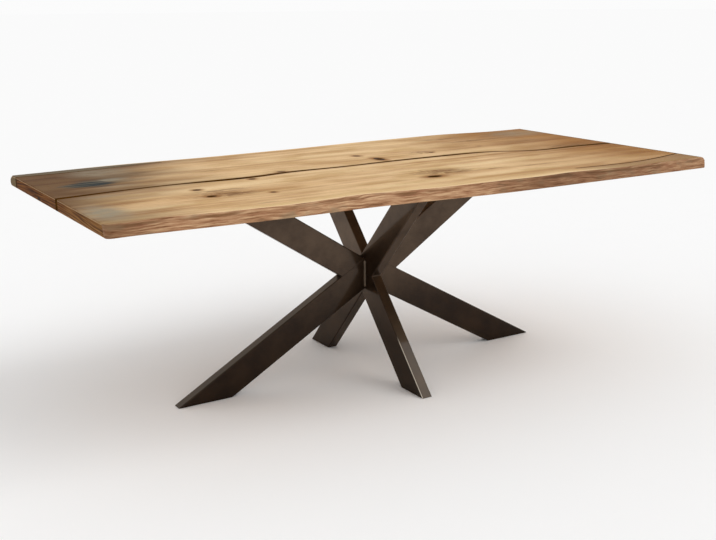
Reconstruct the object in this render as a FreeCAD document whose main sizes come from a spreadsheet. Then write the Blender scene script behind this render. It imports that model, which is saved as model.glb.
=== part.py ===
"""Dining table: two live-edge boards with a filled joint, on a pedestal of two crossed tube frames.

Millimetres, +Z up, +X to the right along the table and +Y to its back. The origin is on the floor
under the middle of the top.
"""
import FreeCAD, Part
import Sketcher
import math
import os

Vector = FreeCAD.Vector

doc = FreeCAD.newDocument("dining_table")
sheet = doc.addObject("Spreadsheet::Sheet", "sizes")

# Driving dimensions, in millimetres and degrees
driving = {
    # the top
    "table_height": 760,
    "top_length": 2240,
    "top_width": 1100,
    "top_thickness": 38,
    "end_ease": 2.5,
    "back_swell": 16,
    "back_undercut": 8,
    "front_swell": 3,
    # what fills its joint, splits and knots
    "joint_width": 20,
    "crack_width": 7,
    "knot_width": 30,
    "knot_depth": 9,
    "fill_gap": 0.2,
    # loose tenons across the joint
    "tenon_length": 110,
    "tenon_width": 50,
    "tenon_thickness": 12,
    "tenon_gap": 0.3,
    # tubes of the pedestal
    "tube_width": 100,
    "tube_thickness": 40,
    "tube_wall": 3,
    "tube_corner": 4,
    "hub_height": 365,
    # how far a tube runs out between the hub and its foot or plate
    "leg_run": 640,
    "arm_run": 540.5,
    "cross_leg_run": 324,
    "cross_arm_run": 320.5,
    "pedestal_setback": 16,
    "weld_leg": 6,
    # plates under the top
    "plate_length": 190,
    "plate_width": 140,
    "plate_thickness": 6,
    "plate_corner": 12,
    "slot_pitch_along": 130,
    "slot_pitch_across": 100,
    "slot_length": 18,
    "slot_gap": 0.5,
    # coach screws
    "screw_diameter": 8,
    "screw_length": 26,
    "screw_gap": 0.15,
    "head_width": 13,
    "head_height": 5.5,
    # feet
    "foot_cap_thickness": 3,
    "foot_cap_gap": 0.3,
    "glide_diameter": 30,
    "glide_proud": 1.5,
    # how far a cut runs past what it cuts
    "overrun": 10,
}
# Slopes of the tubes, worked out from them
derived = {
    "plate_face": "=table_height - top_thickness - plate_thickness",
    "leg_angle": "=atan((hub_height - glide_proud) / leg_run)",
    "arm_angle": "=atan((plate_face - hub_height) / arm_run)",
    "cross_leg_angle": "=atan((hub_height - glide_proud) / cross_leg_run)",
    "cross_arm_angle": "=atan((plate_face - hub_height) / cross_arm_run)",
}
for row, (alias, content) in enumerate({**driving, **derived}.items(), 1):
    sheet.set(f"A{row}", alias)
    sheet.set(f"B{row}", str(content))
    sheet.setAlias(f"B{row}", alias)
doc.recompute()


def value(text):
    """The number that an expression in the sheet's names comes to."""
    return float(sheet.evalExpression(text))


def size(alias):
    """One size from the sheet."""
    return value(f"sizes.{alias}")


# Places worked out from the driving dimensions, as expressions in the sheet's names
UNDERSIDE = "(sizes.table_height - sizes.top_thickness)"
PLATE_FACE = "sizes.plate_face"
HALF_TUBE = "(sizes.tube_thickness / 2)"
HALF_WIDTH = "(sizes.tube_width / 2)"
BORE_HALF_WIDTH = "(sizes.tube_width / 2 - sizes.tube_wall)"

# Under this, a length or the sine of an angle counts as nothing
NOTHING = 1e-6


def slanted(half, angle, name):
    """Half a slanted band, measured level or upright as name says."""
    return f"({half} / {'sin' if name == 'level' else 'cos'}(sizes.{angle}))"


# The long frame's tubes all point at a centre set back so far that an arm's upper edge, a leg's upper
# edge and the face of the cross frame meet in one line
REACH = (f"({HALF_TUBE} - ({slanted(HALF_WIDTH, 'leg_angle', 'upright')}"
         f" - {slanted(HALF_WIDTH, 'arm_angle', 'upright')})"
         " / (tan(sizes.leg_angle) + tan(sizes.arm_angle)))")


def object_of(kind, name):
    item = doc.addObject(kind, name)
    item.Label = name
    return item


def plane_of(body, role):
    """One of a body's own origin planes."""
    return next(plane for plane in body.Origin.OriginFeatures if plane.Role == role)


def outline(body, role, name, corners):
    """A closed sketch through corners, each an across and an up expression."""
    sketch = body.newObject("Sketcher::SketchObject", name)
    sketch.AttachmentSupport = [(plane_of(body, role), "")]
    sketch.MapMode = "FlatFace"
    points = [Vector(value(across), value(up), 0) for across, up in corners]
    for number, point in enumerate(points):
        sketch.addGeometry(Part.LineSegment(point, points[(number + 1) % len(points)]))
    for number in range(len(points)):
        following = (number + 1) % len(points)
        sketch.addConstraint(Sketcher.Constraint("Coincident", number, 2, following, 1))
    for number, corner in enumerate(corners):
        for kind, text in zip(("DistanceX", "DistanceY"), corner):
            place = sketch.addConstraint(Sketcher.Constraint(kind, -1, 1, number, 1, value(text)))
            sketch.setExpression(f"Constraints[{place}]", text)
    return sketch


def pad(body, sketch, length, name, midplane=False):
    feature = body.newObject("PartDesign::Pad", name)
    feature.Profile = sketch
    feature.Midplane = midplane
    feature.setExpression("Length", length)
    doc.recompute()
    return feature


def pocket(body, sketch, length, name, midplane=False, turned=False):
    """A pocket, checked to have taken something away."""
    before = body.Shape.Volume
    feature = body.newObject("PartDesign::Pocket", name)
    feature.Profile = sketch
    feature.Midplane = midplane
    feature.Reversed = turned
    feature.setExpression("Length", length)
    doc.recompute()
    if body.Shape.Volume >= before:
        raise ValueError(f"{name} cuts nothing")
    return feature


def revolve(body, sketch, name):
    feature = body.newObject("PartDesign::Revolution", name)
    feature.Profile = sketch
    feature.ReferenceAxis = (sketch, ["V_Axis"])
    feature.Angle = 360
    doc.recompute()
    return feature


def round_edges(body, feature, direction, radius, name):
    """Rounds the edges of a feature that run in one direction."""
    edges = []
    for number, edge in enumerate(feature.Shape.Edges, 1):
        along = edge.tangentAt(edge.FirstParameter)
        if along.cross(direction).Length < NOTHING:
            edges.append(f"Edge{number}")
    fillet = body.newObject("PartDesign::Fillet", name)
    fillet.Base = (feature, edges)
    fillet.setExpression("Radius", radius)
    doc.recompute()
    return fillet


def mirrored(source, name, normal, through=None):
    """The mirror image of a piece, through the origin or through a place given by an expression."""
    image = object_of("Part::Mirroring", name)
    image.Source = source
    image.Normal = normal
    if through:
        image.setExpression("Base.y", through)
    doc.recompute()
    return image


# Tubes

def tube(name, role, corners, bore, angle, rising):
    """A rectangular tube in one frame's plane: its outline padded to the tube's thickness, its long edges
    rounded, and its bore cut from mitre to mitre."""
    body = object_of("PartDesign::Body", name)
    solid = pad(body, outline(body, role, name + "_outline", corners), "sizes.tube_thickness",
                name + "_pad", midplane=True)
    turn = math.radians(size(angle)) * rising
    slope = Vector(math.cos(turn), 0, math.sin(turn))
    if role == "YZ_Plane":
        slope = Vector(0, math.cos(turn), math.sin(turn))
    round_edges(body, solid, slope, "sizes.tube_corner", name + "_corners")
    pocket(body, outline(body, role, name + "_bore_outline", bore),
           "sizes.tube_thickness - 2 * sizes.tube_wall", name + "_bore", midplane=True)
    body.setExpression("Placement.Base.y", "sizes.pedestal_setback")
    doc.recompute()
    return body


def long_leg_corners(half, foot_level, hub_face):
    """A long frame's leg on the left, between the foot's level and the face that it is welded to."""
    level = slanted(half, "leg_angle", "level")
    upright = slanted(half, "leg_angle", "upright")
    foot = f"({REACH} + (sizes.hub_height - {foot_level}) / tan(sizes.leg_angle))"
    at_hub = f"(sizes.hub_height + ({REACH} - {hub_face}) * tan(sizes.leg_angle))"
    return [
        (f"-({foot} + {level})", foot_level),
        (f"-({foot} - {level})", foot_level),
        (f"-{hub_face}", f"{at_hub} - {upright}"),
        (f"-{hub_face}", f"{at_hub} + {upright}"),
    ]


def long_arm_corners(half, top_level, seat_drop):
    """A long frame's arm on the left, from the leg's upper edge, less seat_drop, up to top_level."""
    level = slanted(half, "arm_angle", "level")
    upright = slanted(half, "arm_angle", "upright")
    seat = f"({slanted(HALF_WIDTH, 'leg_angle', 'upright')} - {seat_drop})"
    slopes = "(tan(sizes.leg_angle) + tan(sizes.arm_angle))"
    crotch = f"(({seat} - {upright}) / {slopes})"
    waist = f"(({seat} + {upright}) / {slopes})"
    top = f"({REACH} + ({top_level} - sizes.hub_height) / tan(sizes.arm_angle))"
    return [
        (f"-({REACH} + {crotch})", f"sizes.hub_height + {seat} - {crotch} * tan(sizes.leg_angle)"),
        (f"-({REACH} + {waist})", f"sizes.hub_height + {seat} - {waist} * tan(sizes.leg_angle)"),
        (f"-({top} + {level})", top_level),
        (f"-({top} - {level})", top_level),
    ]


def cross_corners(half, angle, end_level, way, past):
    """A cross frame's tube at the front, mitred at the hub on a level and an upright plane. way is -1 for a
    leg and 1 for an arm, and past runs the bore through both mitres."""
    level = slanted(half, angle, "level")
    upright = slanted(half, angle, "upright")
    end = f"(({end_level} - sizes.hub_height) * {way} / tan(sizes.{angle}))"
    return [
        (f"-({end} + {level})", end_level),
        (f"-({end} - {level})", end_level),
        (past, f"sizes.hub_height + {way} * ({upright} - {past} * tan(sizes.{angle}))"),
        (past, f"sizes.hub_height - {way} * {past}"),
        (f"-({level} - {past} / tan(sizes.{angle}))", f"sizes.hub_height - {way} * {past}"),
    ]


FOOT = "sizes.glide_proud"
PAST_FOOT = "(sizes.glide_proud - sizes.overrun)"
PAST_PLATE = f"({PLATE_FACE} + sizes.overrun)"


def long_frame():
    left_leg = tube("left_leg", "XZ_Plane", long_leg_corners(HALF_WIDTH, FOOT, HALF_TUBE),
                    long_leg_corners(BORE_HALF_WIDTH, PAST_FOOT, f"({HALF_TUBE} - sizes.overrun)"),
                    "leg_angle", 1)
    left_arm = tube("left_arm", "XZ_Plane", long_arm_corners(HALF_WIDTH, PLATE_FACE, "0"),
                    long_arm_corners(BORE_HALF_WIDTH, PAST_PLATE, "sizes.overrun"), "arm_angle", -1)
    right_leg = mirrored(left_leg, "right_leg", Vector(1, 0, 0))
    right_arm = mirrored(left_arm, "right_arm", Vector(1, 0, 0))
    return [left_leg, right_leg, left_arm, right_arm]


def cross_frame():
    front_leg = tube("front_leg", "YZ_Plane", cross_corners(HALF_WIDTH, "cross_leg_angle", FOOT, -1, "0"),
                     cross_corners(BORE_HALF_WIDTH, "cross_leg_angle", PAST_FOOT, -1, "sizes.overrun"),
                     "cross_leg_angle", 1)
    front_arm = tube("front_arm", "YZ_Plane",
                     cross_corners(HALF_WIDTH, "cross_arm_angle", PLATE_FACE, 1, "0"),
                     cross_corners(BORE_HALF_WIDTH, "cross_arm_angle", PAST_PLATE, 1, "sizes.overrun"),
                     "cross_arm_angle", -1)
    back_leg = mirrored(front_leg, "back_leg", Vector(0, 1, 0), "sizes.pedestal_setback")
    back_arm = mirrored(front_arm, "back_arm", Vector(0, 1, 0), "sizes.pedestal_setback")
    return [front_leg, back_leg, front_arm, back_arm]


# Feet

def foot_cap(name, role, angle, reach):
    """The plate let into a foot's mouth, with its ends on the tube's slant."""
    level = slanted(f"({BORE_HALF_WIDTH} - sizes.foot_cap_gap)", angle, "level")
    face = f"({FOOT} + sizes.foot_cap_thickness)"
    low = f"({reach} + (sizes.hub_height - {FOOT}) / tan(sizes.{angle}))"
    high = f"({reach} + (sizes.hub_height - {face}) / tan(sizes.{angle}))"
    corners = [
        (f"-({low} + {level})", FOOT),
        (f"-({low} - {level})", FOOT),
        (f"-({high} - {level})", face),
        (f"-({high} + {level})", face),
    ]
    body = object_of("PartDesign::Body", name)
    pad(body, outline(body, role, name + "_outline", corners),
        "sizes.tube_thickness - 2 * (sizes.tube_wall + sizes.foot_cap_gap)", name + "_pad", midplane=True)
    body.setExpression("Placement.Base.y", "sizes.pedestal_setback")
    doc.recompute()
    return body


def glide(name, across, back):
    """A round glide, stuck under a foot cap."""
    disc = object_of("Part::Cylinder", name)
    disc.setExpression("Radius", "sizes.glide_diameter / 2")
    disc.setExpression("Height", "sizes.glide_proud")
    disc.setExpression("Placement.Base.x", across)
    disc.setExpression("Placement.Base.y", f"sizes.pedestal_setback + {back}")
    doc.recompute()
    return disc


def gathered(name, members):
    """One node that holds several like solids."""
    group = object_of("Part::Compound", name)
    group.Links = members
    doc.recompute()
    return group


def feet():
    long_cap = foot_cap("long_foot_cap", "XZ_Plane", "leg_angle", REACH)
    cross_cap = foot_cap("cross_foot_cap", "YZ_Plane", "cross_leg_angle", "0")
    caps = [
        long_cap, mirrored(long_cap, "right_foot_cap", Vector(1, 0, 0)),
        cross_cap, mirrored(cross_cap, "back_foot_cap", Vector(0, 1, 0), "sizes.pedestal_setback"),
    ]
    long_foot = f"({REACH} + (sizes.hub_height - {FOOT}) / tan(sizes.leg_angle))"
    cross_foot = f"((sizes.hub_height - {FOOT}) / tan(sizes.cross_leg_angle))"
    glides = [
        glide("left_glide", f"-{long_foot}", "0"), glide("right_glide", long_foot, "0"),
        glide("front_glide", "0", f"-1 * {cross_foot}"), glide("back_glide", "0", cross_foot),
    ]
    return [gathered("foot_caps", caps), gathered("floor_glides", glides)]


# Hub welds

def hub_welds():
    """A fillet bead in each upright corner of the hub, as long as a leg's end is high."""
    upright = slanted(HALF_WIDTH, "leg_angle", "upright")
    centre = f"(sizes.hub_height + ({REACH} - {HALF_TUBE}) * tan(sizes.leg_angle))"
    body = object_of("PartDesign::Body", "hub_bead")
    corner = f"-{HALF_TUBE}"
    toe = f"-({HALF_TUBE} + sizes.weld_leg)"
    sketch = outline(body, "XY_Plane", "hub_bead_outline", [(corner, corner), (toe, corner), (corner, toe)])
    pad(body, sketch, f"2 * ({upright} - sizes.weld_leg)", "hub_bead_pad")
    body.setExpression("Placement.Base.y", "sizes.pedestal_setback")
    body.setExpression("Placement.Base.z", f"{centre} - {upright} + sizes.weld_leg")
    doc.recompute()
    right = mirrored(body, "hub_bead_right", Vector(1, 0, 0))
    back = mirrored(body, "hub_bead_back", Vector(0, 1, 0), "sizes.pedestal_setback")
    back_right = mirrored(back, "hub_bead_back_right", Vector(1, 0, 0))
    return gathered("hub_welds", [body, right, back, back_right])


# Plates under the top

SLOT_HALF_WIDTH = "(sizes.screw_diameter / 2 + sizes.slot_gap)"
LONG_PLATE = f"({REACH} + ({PLATE_FACE} - sizes.hub_height) / tan(sizes.arm_angle))"
CROSS_PLATE = f"(({PLATE_FACE} - sizes.hub_height) / tan(sizes.cross_arm_angle))"


def add_slot(sketch, across, back):
    """A slot that runs across the grain, so that the top may swell and shrink."""
    first = sketch.GeometryCount
    radius = value(SLOT_HALF_WIDTH)
    travel = f"(sizes.slot_length / 2 - {SLOT_HALF_WIDTH})"
    far = Vector(value(across), value(f"{back} + {travel}"), 0)
    near = Vector(value(across), value(f"{back} - {travel}"), 0)
    side = Vector(radius, 0, 0)
    up = Vector(0, 0, 1)
    sketch.addGeometry(Part.ArcOfCircle(Part.Circle(far, up, radius), 0, math.pi))
    sketch.addGeometry(Part.LineSegment(far - side, near - side))
    sketch.addGeometry(Part.ArcOfCircle(Part.Circle(near, up, radius), math.pi, 2 * math.pi))
    sketch.addGeometry(Part.LineSegment(near + side, far + side))
    for step in range(4):
        following = first + (step + 1) % 4
        sketch.addConstraint(Sketcher.Constraint("Tangent", first + step, 2, following, 1))
    sketch.addConstraint(Sketcher.Constraint("Equal", first, first + 2))
    sketch.addConstraint(Sketcher.Constraint("Vertical", first + 1))
    bound = [
        (Sketcher.Constraint("Radius", first, radius), SLOT_HALF_WIDTH),
        (Sketcher.Constraint("DistanceX", -1, 1, first, 3, far.x), across),
        (Sketcher.Constraint("DistanceY", -1, 1, first, 3, far.y), f"{back} + {travel}"),
        (Sketcher.Constraint("DistanceY", -1, 1, first + 2, 3, near.y), f"{back} - {travel}"),
    ]
    for constraint, text in bound:
        place = sketch.addConstraint(constraint)
        sketch.setExpression(f"Constraints[{place}]", text)


def top_plate(name, along, deep, screws, across, back):
    """A plate on the end of an arm. along and deep are its sizes along X and Y, screws its slots' places."""
    body = object_of("PartDesign::Body", name)
    half_x, half_y, cut = f"({along} / 2)", f"({deep} / 2)", "sizes.plate_corner"
    corners = []
    for side, way in ((-1, -1), (1, -1), (1, 1), (-1, 1)):
        beside = (f"{side} * {half_x}", f"{way} * ({half_y} - {cut})")
        before = (f"{side} * ({half_x} - {cut})", f"{way} * {half_y}")
        corners += [beside, before] if side == way else [before, beside]
    pad(body, outline(body, "XY_Plane", name + "_outline", corners), "sizes.plate_thickness", name + "_pad")
    slots = body.newObject("Sketcher::SketchObject", name + "_slot_outlines")
    slots.AttachmentSupport = [(plane_of(body, "XY_Plane"), "")]
    slots.MapMode = "FlatFace"
    for place in screws:
        add_slot(slots, *place)
    pocket(body, slots, "sizes.plate_thickness + sizes.overrun", name + "_slots", turned=True)
    body.setExpression("Placement.Base.x", across)
    body.setExpression("Placement.Base.y", f"sizes.pedestal_setback + {back}")
    body.setExpression("Placement.Base.z", PLATE_FACE)
    doc.recompute()
    return body


# Slots from a plate's centre: four on a long frame's plate, and one on each side of a cross frame's arm
LONG_PLATE_SCREWS = [(f"{side} * sizes.slot_pitch_along / 2", f"{way} * sizes.slot_pitch_across / 2")
                     for side in (-1, 1) for way in (-1, 1)]
CROSS_PLATE_SCREWS = [(f"{side} * sizes.slot_pitch_across / 2", "0") for side in (-1, 1)]


def top_plates():
    left = top_plate("left_top_plate", "sizes.plate_length", "sizes.plate_width", LONG_PLATE_SCREWS,
                     f"-{LONG_PLATE}", "0")
    front = top_plate("front_top_plate", "sizes.plate_width", "sizes.plate_length", CROSS_PLATE_SCREWS,
                      "0", f"-1 * {CROSS_PLATE}")
    right = mirrored(left, "right_top_plate", Vector(1, 0, 0))
    back = mirrored(front, "back_top_plate", Vector(0, 1, 0), "sizes.pedestal_setback")
    return [left, right, front, back]


# Coach screws

def screw_seed():
    """A hexagon-headed coach screw pointing up, with its bearing face at its origin."""
    body = object_of("PartDesign::Body", "screw")
    hexagon = [(f"sizes.head_width / 2 / cos(30) * cos({turn})",
                f"sizes.head_width / 2 / cos(30) * sin({turn})") for turn in range(0, 360, 60)]
    head = pad(body, outline(body, "XY_Plane", "head_outline", hexagon), "sizes.head_height", "head_pad")
    head.Reversed = True
    radius = "(sizes.screw_diameter / 2)"
    revolve(body, outline(body, "XZ_Plane", "shank_profile",
                          [("0", "0"), (radius, "0"), (radius, "sizes.screw_length"),
                           ("0", "sizes.screw_length")]), "shank_turning")
    return body


def screw_places():
    """Where each screw goes: across and back."""
    places = []
    for side in (-1, 1):
        for across, back in LONG_PLATE_SCREWS:
            places.append((f"{side} * ({LONG_PLATE} + {across})", f"sizes.pedestal_setback + {back}"))
        for across, back in CROSS_PLATE_SCREWS:
            places.append((across, f"sizes.pedestal_setback + {side} * ({CROSS_PLATE} + {back})"))
    return places


def copies(name, seed, places):
    """One node of identical solids, each moved to its place."""
    shapes = []
    for place in places:
        copy = seed.Shape.copy()
        copy.translate(place)
        shapes.append(copy)
    item = object_of("Part::Feature", name)
    item.Shape = Part.makeCompound(shapes)
    return item


def mounting_screws():
    places = [Vector(value(across), value(back), value(PLATE_FACE)) for across, back in screw_places()]
    return copies("mounting_screws", screw_seed(), places)


# Natural edges. Along is a share of half the top's length, across of half its width
# Front edge: along, then across at the crest in the top face and at the foot in the underside
front_edge_shares = [
    (-1.00, 0.829, 0.851), (-0.93, 0.829, 0.847), (-0.85, 0.818, 0.856), (-0.74, 0.849, 0.872),
    (-0.61, 0.873, 0.889), (-0.54, 0.884, 0.894), (-0.40, 0.871, 0.899), (-0.29, 0.849, 0.899),
    (-0.14, 0.891, 0.919), (0.00, 0.920, 0.945), (0.19, 0.935, 0.974), (0.32, 0.949, 0.980),
    (0.42, 0.938, 0.983), (0.55, 0.965, 0.987), (0.70, 0.984, 0.992), (0.80, 0.980, 0.995),
    (1.00, 0.988, 0.998),
]
# Back edge: along, across at the crest, and how full it is at the waist as a share of back_swell
back_edge_shares = [
    (-1.00, 0.893, 2.9), (-0.86, 0.913, 1.4), (-0.70, 0.942, 1.0), (-0.54, 0.938, 1.0), (-0.37, 0.924, 1.0),
    (-0.19, 0.933, 1.0), (0.00, 0.942, 1.0), (0.20, 0.948, 1.0), (0.42, 0.971, 1.0), (0.54, 0.973, 1.0),
    (0.65, 0.964, 1.0), (0.80, 0.909, 1.0), (1.00, 0.897, 1.0),
]
# Joint: along, across, and its width as a share of joint_width
joint_shares = [
    (-1.00, -0.018, 1.1), (-0.93, 0.000, 1.0), (-0.80, 0.031, 0.7), (-0.62, 0.043, 0.7), (-0.49, 0.025, 1.3),
    (-0.37, 0.031, 1.1), (-0.29, 0.056, 1.0), (-0.12, 0.054, 0.7), (0.12, 0.069, 0.8), (0.32, 0.067, 1.0),
    (0.45, 0.054, 0.8), (0.53, 0.014, 0.5), (0.62, -0.071, 0.5), (0.80, -0.098, 0.9), (1.00, -0.124, 1.0),
]
# Splits, from the tip to the board's end: along, across, and width as a share of crack_width
front_crack_shares = [(0.50, -0.838, 0.2), (0.60, -0.853, 0.5), (0.70, -0.861, 0.7), (0.80, -0.846, 0.8),
                      (0.90, -0.805, 0.9), (1.00, -0.755, 1.0)]
back_crack_shares = [(-0.52, 0.905, 0.2), (-0.62, 0.880, 0.5), (-0.76, 0.850, 0.8), (-0.88, 0.832, 0.9),
                     (-1.00, 0.837, 1.0)]
# Filled knots: along, across, then length and breadth as shares of knot_width
knot_shares = [(0.102, 0.191, 0.9, 0.8), (0.053, -0.584, 1.8, 0.9), (-0.633, -0.425, 1.1, 0.7)]
# Levels of a board's outlines, from the underside to the top face
level_shares = [0.0, 0.25, 0.5, 0.75, 1.0]


def across_from(share):
    """A real place across the top from its share."""
    return share * size("top_width") / 2


def level_at(share):
    """A real level between the underside, 0, and the top face, 1."""
    return value(f"{UNDERSIDE} + {share} * sizes.top_thickness")


def rough_point(along, across, level):
    """A point of a board before its ends are sawn, when it is longer than the top."""
    spare = math.copysign(size("overrun"), along) if abs(along) == 1 else 0
    return Vector(along * size("top_length") / 2 + spare, across, level)


def spline(rows, across, level):
    """A smooth edge along the top. across gives each row's real place from its shares."""
    alongs = [row[0] for row in rows]
    way = math.copysign(1, alongs[-1] - alongs[0])
    curve = Part.BSplineCurve()
    curve.interpolate(Points=[rough_point(row[0], across(*row[1:]), level) for row in rows],
                      Parameters=[way * (along - alongs[0]) for along in alongs])
    return curve.toShape()


def front_rim(share):
    """The bark side of the front board at one level."""
    swell = size("front_swell") * math.sin(math.pi * share)
    return spline(front_edge_shares,
                  lambda crest, foot: -across_from(foot + (crest - foot) * share) - swell, level_at(share))


def back_rim(share):
    """The bark side of the back board at one level: full at the waist, undercut at the foot."""
    swell = size("back_swell") * math.sin(math.pi * share)
    undercut = size("back_undercut") * (1 - share) ** 2
    return spline(back_edge_shares,
                  lambda crest, fullness: across_from(crest) + fullness * swell - undercut, level_at(share))


def strip_side(rows, full_width, side, gap, share):
    """One side, -1 for the front or 1 for the back, of a filled joint or split, with a gap beside it."""
    return spline(rows, lambda across, width: across_from(across) + side * (width * full_width / 2 + gap),
                  level_at(share))


def joint_side(side, gap, share):
    return strip_side(joint_shares, size("joint_width"), side, gap, share)


def crack_side(rows, side, gap, share):
    return strip_side(rows, size("crack_width"), side, gap, share)


def ring_of(near, far):
    """A closed wire of two edges along the top, joined by straight ends."""
    near_start, near_end = near.Vertexes[0].Point, near.Vertexes[-1].Point
    far_start, far_end = far.Vertexes[0].Point, far.Vertexes[-1].Point
    return Part.Wire([near, Part.makeLine(near_end, far_end), far, Part.makeLine(far_start, near_start)])


def sawn(shape):
    """Cuts the ends square and eases their level edges."""
    reach = size("top_length") / 2
    block = box_between(Vector(-reach, -size("top_width"), 0), Vector(reach, size("top_width"), level_at(1)))
    shape = shape.common(block)
    crests = [edge for edge in shape.Edges
              if edge.BoundBox.ZLength < NOTHING and abs(abs(edge.CenterOfMass.x) - reach) < NOTHING]
    return shape.makeFillet(size("end_ease"), crests)


def board(near, far):
    """A board from its outlines at several levels: near and far give its two sides at a level's share."""
    sections = [ring_of(near(share), far(share)) for share in level_shares]
    return sawn(Part.makeLoft(sections, True, True))


def strip(side):
    """A through strip with upright sides, before its ends are sawn. side gives -1's or 1's edge at a level."""
    return Part.makeLoft([ring_of(side(-1, share), side(1, share)) for share in (0, 1)], True, True)


def crack(rows, gap):
    return strip(lambda side, share: crack_side(rows, side, gap, share))


def knot(row, gap):
    """An oval plug in the top face. A gap goes round and under it."""
    along, across, length, breadth = row
    depth = size("knot_depth") + gap
    centre = Vector(along * size("top_length") / 2, across_from(across), level_at(1) - depth)
    half_length = length * size("knot_width") / 2 + gap
    half_breadth = breadth * size("knot_width") / 2 + gap
    oval = Part.Ellipse(centre + Vector(half_length, 0, 0), centre + Vector(0, half_breadth, 0), centre)
    return Part.Face(Part.Wire(oval.toShape())).extrude(Vector(0, 0, depth))


def box_between(low, high):
    """A plain block from its lowest to its highest corner."""
    return Part.makeBox(high.x - low.x, high.y - low.y, high.z - low.z, low)


def tenon_places():
    """The middle of each tenon on the joint's middle line: at the hub, and on both sides of each plate."""
    middle = spline(joint_shares, lambda across, width: across_from(across), level_at(0.5))
    plate = value(LONG_PLATE)
    inner, outer = plate / 2, (plate + size("top_length") / 2) / 2
    places = []
    for along in (-outer, -inner, 0, inner, outer):
        station = Part.Plane(Vector(along, 0, 0), Vector(1, 0, 0))
        crossing = middle.Curve.intersect(station)[0][0]
        places.append(Vector(along, crossing.Y, level_at(0.5)))
    return places


def joint_tenons():
    """Loose tenons, which cross the joint at right angles."""
    body = object_of("PartDesign::Body", "tenon")
    half_x, half_z = "(sizes.tenon_width / 2)", "(sizes.tenon_thickness / 2)"
    corners = [(f"-{half_x}", f"-{half_z}"), (half_x, f"-{half_z}"), (half_x, half_z), (f"-{half_x}", half_z)]
    pad(body, outline(body, "XZ_Plane", "tenon_outline", corners), "sizes.tenon_length", "tenon_pad",
        midplane=True)
    return copies("joint_tenons", body, tenon_places())


def mortises():
    gap = size("tenon_gap")
    half = Vector(size("tenon_width"), size("tenon_length"), size("tenon_thickness")) / 2
    half += Vector(gap, gap, gap)
    return [box_between(place - half, place + half) for place in tenon_places()]


def screw_holes():
    """Blind holes for the screws' shanks."""
    start = value(UNDERSIDE) - size("overrun")
    top = value(PLATE_FACE) + size("screw_length") + size("screw_gap")
    radius = size("screw_diameter") / 2 + size("screw_gap")
    return [Part.makeCylinder(radius, top - start, Vector(value(across), value(back), start))
            for across, back in screw_places()]


def wooden_top():
    """The two boards and the resin between and in them."""
    gap = size("fill_gap")
    hidden = mortises() + screw_holes()
    cracks = [front_crack_shares, back_crack_shares]
    cuts = hidden + [crack(rows, gap) for rows in cracks] + [knot(row, gap) for row in knot_shares]
    river = strip(lambda side, share: joint_side(side, 0, share))
    shapes = {
        "front_slab": board(front_rim, lambda share: joint_side(-1, gap, share)).cut(cuts),
        "back_slab": board(lambda share: joint_side(1, gap, share), back_rim).cut(cuts),
        "joint_fill": sawn(river).cut(hidden),
        "front_crack_fill": sawn(crack(front_crack_shares, 0)).cut(hidden),
        "back_crack_fill": sawn(crack(back_crack_shares, 0)).cut(hidden),
        "knot_fills": Part.makeCompound([knot(row, 0) for row in knot_shares]),
    }
    items = []
    for name, shape in shapes.items():
        item = object_of("Part::Feature", name)
        item.Shape = shape
        items.append(item)
    return items


def check(items):
    """Stops if any object failed or any piece is empty or unsound."""
    for item in doc.Objects:
        if "Invalid" in item.State or "Error" in item.State:
            raise ValueError(f"{item.Name} failed: {item.State}")
    for item in items:
        if item.Shape.isNull() or not item.Shape.isValid() or not item.Shape.Solids:
            raise ValueError(f"{item.Label} has no sound shape")


pieces = wooden_top() + [joint_tenons()] + top_plates() + long_frame() + cross_frame()
pieces += [hub_welds()] + feet() + [mounting_screws()]
doc.recompute()
check(pieces)
os.makedirs("parts", exist_ok=True)
for piece in pieces:
    piece.Shape.exportStep(f"parts/{piece.Label}.step")
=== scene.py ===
"""Dining table: detailed boards, fills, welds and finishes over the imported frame.

Metres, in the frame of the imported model: +X along the table to the right, +Y to its back, +Z up.
"""
import math

import bpy
import numpy as np
from mathutils import Matrix, Vector


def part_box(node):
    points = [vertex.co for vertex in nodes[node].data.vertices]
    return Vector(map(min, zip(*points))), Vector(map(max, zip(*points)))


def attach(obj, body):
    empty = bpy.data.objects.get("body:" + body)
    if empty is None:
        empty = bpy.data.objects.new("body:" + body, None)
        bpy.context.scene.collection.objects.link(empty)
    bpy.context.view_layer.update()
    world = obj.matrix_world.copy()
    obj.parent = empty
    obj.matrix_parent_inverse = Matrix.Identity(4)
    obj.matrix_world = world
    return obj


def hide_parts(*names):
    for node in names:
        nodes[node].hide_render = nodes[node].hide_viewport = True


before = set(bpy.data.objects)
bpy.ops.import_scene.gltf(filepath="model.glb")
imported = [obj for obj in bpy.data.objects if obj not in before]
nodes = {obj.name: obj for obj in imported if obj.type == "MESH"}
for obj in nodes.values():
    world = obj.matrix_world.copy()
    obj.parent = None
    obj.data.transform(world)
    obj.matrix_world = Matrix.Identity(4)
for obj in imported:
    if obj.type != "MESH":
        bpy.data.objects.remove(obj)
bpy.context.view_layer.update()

# Driving sizes, in metres, read from the frame where it has them
slab_low, slab_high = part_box("front_slab")
half_length = slab_high.x
underside = slab_low.z
table_top = slab_high.z
thickness = table_top - underside
half_width = 0.55
end_ease = 0.0025
arris = 0.0025
back_swell = 0.016
front_swell = 0.003
left_corner_round = 0.02
right_corner_round = 0.006
crest_wear = 0.012
wear_length = 0.16
joint_width = 0.020
crack_width = 0.007
knot_width = 0.030
knot_depth = 0.009
ripple = 0.0013
ragged_edge = 0.0008
fill_dish = 0.0003
skin = 0.00005
station_pitch = 0.005

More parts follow.
